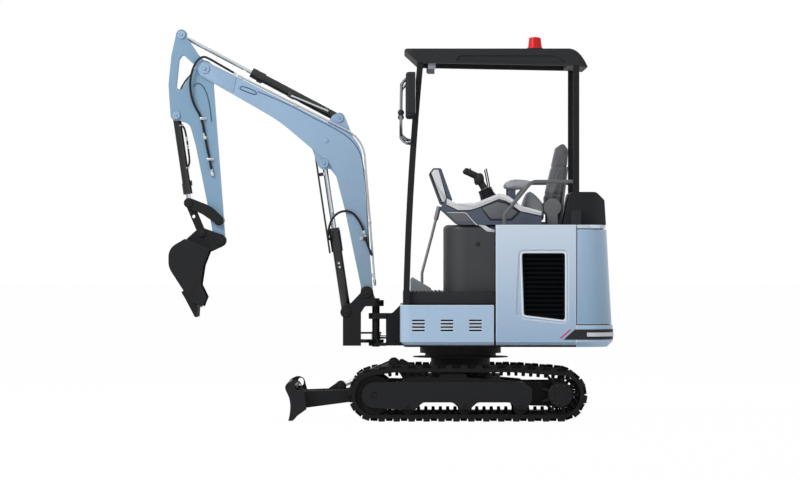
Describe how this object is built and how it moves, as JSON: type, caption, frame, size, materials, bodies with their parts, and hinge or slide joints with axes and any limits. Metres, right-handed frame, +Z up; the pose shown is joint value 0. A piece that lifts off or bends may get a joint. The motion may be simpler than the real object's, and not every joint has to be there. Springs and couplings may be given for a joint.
{
  "type": "compact tracked excavator",
  "caption": "Small excavator on rubber tracks with a canopy, a swinging boom, an arm, a toothed bucket and a dozer blade, for digging and levelling.",
  "frame": {"origin": "on the ground under the axis of the slew ring", "axes": "+Z up, -X forward towards the bucket and the blade, so -Y is the machine's left side"},
  "size_m": [2.9195, 1.2, 2.5679],
  "materials": {
    "blue_paint": "satin",
    "blue_plastic": "satin",
    "black_paint": "satin",
    "black_plastic": "matte",
    "grey_plastic": "matte",
    "rubber": "matte",
    "cast_iron": "satin",
    "chrome": "polished",
    "seat_cover": "satin",
    "red_lens": "gloss",
    "clear_lens": "gloss"
  },
  "bodies": {
    "undercarriage": {"car_body": "black_paint", "track_frames": "black_paint", "track_left": "rubber", "track_right": "rubber", "sprockets": "cast_iron", "final_drives": "cast_iron", "idlers": "cast_iron", "rollers": "cast_iron", "slew_ring": "cast_iron"},
    "blade": {"blade_plate": "black_paint", "blade_arms": "black_paint"},
    "blade_barrel": {"blade_cylinder_barrel": "black_paint"},
    "blade_rod": {"blade_cylinder_rod": "chrome"},
    "house": {"slew_race": "black_paint", "house_frame": "black_paint", "skirts": "blue_paint", "floor_deck": "black_paint", "side_covers": "blue_paint", "grilles": "black_paint", "hood_hinges": "black_paint", "counterweight": "blue_paint", "lamp_strips": "black_plastic", "tail_lamps": "clear_lens", "bay_top": "black_paint", "power_block": "cast_iron", "seat_base": "black_plastic", "seat_frame": "black_paint", "seat_cushion": "seat_cover", "seat_back": "seat_cover", "consoles": "grey_plastic", "levers": "black_plastic", "travel_levers": "black_paint", "canopy_posts": "black_paint", "canopy_roof": "blue_plastic", "beacon": "red_lens", "mirrors": "black_plastic", "work_lamps": "black_plastic", "rails": "black_paint", "rear_box": "black_plastic"},
    "hood": {"rear_hood": "blue_paint"},
    "swing_post": {"swing_post": "black_paint"},
    "swing_barrel": {"swing_cylinder_barrel": "black_paint"},
    "swing_rod": {"swing_cylinder_rod": "chrome"},
    "boom": {"boom": "blue_paint", "boom_pipes": "black_paint"},
    "boom_barrel": {"boom_cylinder_barrel": "blue_paint", "boom_hose": "rubber"},
    "boom_rod": {"boom_cylinder_rod": "chrome"},
    "arm": {"arm": "blue_paint", "arm_hose": "rubber"},
    "arm_barrel": {"arm_cylinder_barrel": "blue_paint"},
    "arm_rod": {"arm_cylinder_rod": "chrome"},
    "bucket_barrel": {"bucket_cylinder_barrel": "blue_paint"},
    "bucket_rod": {"bucket_cylinder_rod": "chrome"},
    "rocker": {"rocker": "black_paint"},
    "link": {"link": "black_paint"},
    "bucket": {"bucket": "black_paint", "bucket_teeth": "black_paint"}
  },
  "joints": [
    {"name": "slew", "type": "hinge", "parent": "undercarriage", "child": "house", "pos_m": [0, 0, 0.4363], "axis": [0, 0, 1], "continuous": true},
    {"name": "blade_lift", "type": "hinge", "parent": "undercarriage", "child": "blade", "pos_m": [-0.399, 0, 0.19], "axis": [0, 1, 0], "range_deg": [-15, 18]},
    {"name": "hood_swing", "type": "hinge", "parent": "house", "child": "hood", "pos_m": [0.756, 0.5, 1], "axis": [0, 0, 1], "range_deg": [0, 95]},
    {"name": "boom_swing", "type": "hinge", "parent": "house", "child": "swing_post", "pos_m": [-0.558, 0, 0.6], "axis": [0, 0, 1], "range_deg": [-50, 70]},
    {"name": "boom_lift", "type": "hinge", "parent": "swing_post", "child": "boom", "pos_m": [-0.617, 0, 0.834], "axis": [0, 1, 0], "range_deg": [-92, 8]},
    {"name": "arm_swing", "type": "hinge", "parent": "boom", "child": "arm", "pos_m": [-1.686, 0, 2.309], "axis": [0, -1, 0], "range_deg": [-100, 8], "deforming": ["arm_hose"]},
    {"name": "bucket_curl", "type": "hinge", "parent": "arm", "child": "bucket", "pos_m": [-1.587, 0, 1.177], "axis": [0, -1, 0], "range_deg": [0, 175]},
    {"name": "boom_barrel_pivot", "type": "hinge", "parent": "swing_post", "child": "boom_barrel", "pos_m": [-0.752, 0, 0.705], "axis": [0, 1, 0], "range_deg": [-96.45, 8.84]},
    {"name": "boom_rod_slide", "type": "slide", "parent": "boom_barrel", "child": "boom_rod", "axis": [-0.1474, 0, 0.9891], "range_m": [-0.26417, 0.0248], "deforming": ["boom_hose"]},
    {"name": "arm_barrel_pivot", "type": "hinge", "parent": "boom", "child": "arm_barrel", "pos_m": [-0.799, 0, 1.982], "axis": [0, -1, 0], "range_deg": [-7.04, 1.02]},
    {"name": "arm_rod_slide", "type": "slide", "parent": "arm_barrel", "child": "arm_rod", "axis": [-0.884, 0, 0.4675], "range_m": [-0.40174, 0.03398]},
    {"name": "bucket_barrel_pivot", "type": "hinge", "parent": "arm", "child": "bucket_barrel", "pos_m": [-1.874, 0, 2.002], "axis": [0, -1, 0], "range_deg": [-0.5, 3.87]},
    {"name": "bucket_rod_slide", "type": "slide", "parent": "bucket_barrel", "child": "bucket_rod", "axis": [0.1455, 0, -0.9894], "range_m": [-0.002, 0.33802]},
    {"name": "blade_barrel_pivot", "type": "hinge", "parent": "undercarriage", "child": "blade_barrel", "pos_m": [-0.439, 0, 0.368], "axis": [0, 1, 0], "range_deg": [-15.23, 18.18]},
    {"name": "blade_rod_slide", "type": "slide", "parent": "blade_barrel", "child": "blade_rod", "axis": [-0.9172, 0, -0.3983], "range_m": [-0.05905, 0.04954]},
    {"name": "swing_barrel_pivot", "type": "hinge", "parent": "house", "child": "swing_barrel", "pos_m": [-0.04, 0.13, 0.54], "axis": [0, 0, 1], "range_deg": [-2, 2.6]},
    {"name": "swing_rod_slide", "type": "slide", "parent": "swing_barrel", "child": "swing_rod", "axis": [-1, 0, 0], "range_m": [-0.09328, 0.12979]},
    {"name": "rocker_turn", "type": "hinge", "parent": "arm", "child": "rocker", "pos_m": [-1.591, 0, 1.309], "axis": [0, -1, 0], "range_deg": [-0.5, 95.93]},
    {"name": "link_turn", "type": "hinge", "parent": "bucket", "child": "link", "pos_m": [-1.706, 0, 1.226], "axis": [0, -1, 0], "range_deg": [-103.75, 0.5]}
  ],
  "couplings": [
    {"joint": "boom_barrel_pivot", "follows": "boom_lift", "ratio": 1.043},
    {"joint": "boom_rod_slide", "follows": "boom_lift", "m_per_rad": 0.16327},
    {"joint": "arm_barrel_pivot", "follows": "arm_swing", "ratio": 0.065386},
    {"joint": "arm_rod_slide", "follows": "arm_swing", "m_per_rad": 0.22903},
    {"joint": "bucket_barrel_pivot", "follows": "bucket_curl", "ratio": 0.019281},
    {"joint": "bucket_rod_slide", "follows": "bucket_curl", "m_per_rad": 0.11002},
    {"joint": "blade_barrel_pivot", "follows": "blade_lift", "ratio": 0.98232},
    {"joint": "blade_rod_slide", "follows": "blade_lift", "m_per_rad": -0.18158},
    {"joint": "swing_barrel_pivot", "follows": "boom_swing", "ratio": 0.03},
    {"joint": "swing_rod_slide", "follows": "boom_swing", "m_per_rad": 0.1046},
    {"joint": "rocker_turn", "follows": "bucket_curl", "ratio": 0.5453},
    {"joint": "link_turn", "follows": "bucket_curl", "ratio": -0.59002}
  ]
}
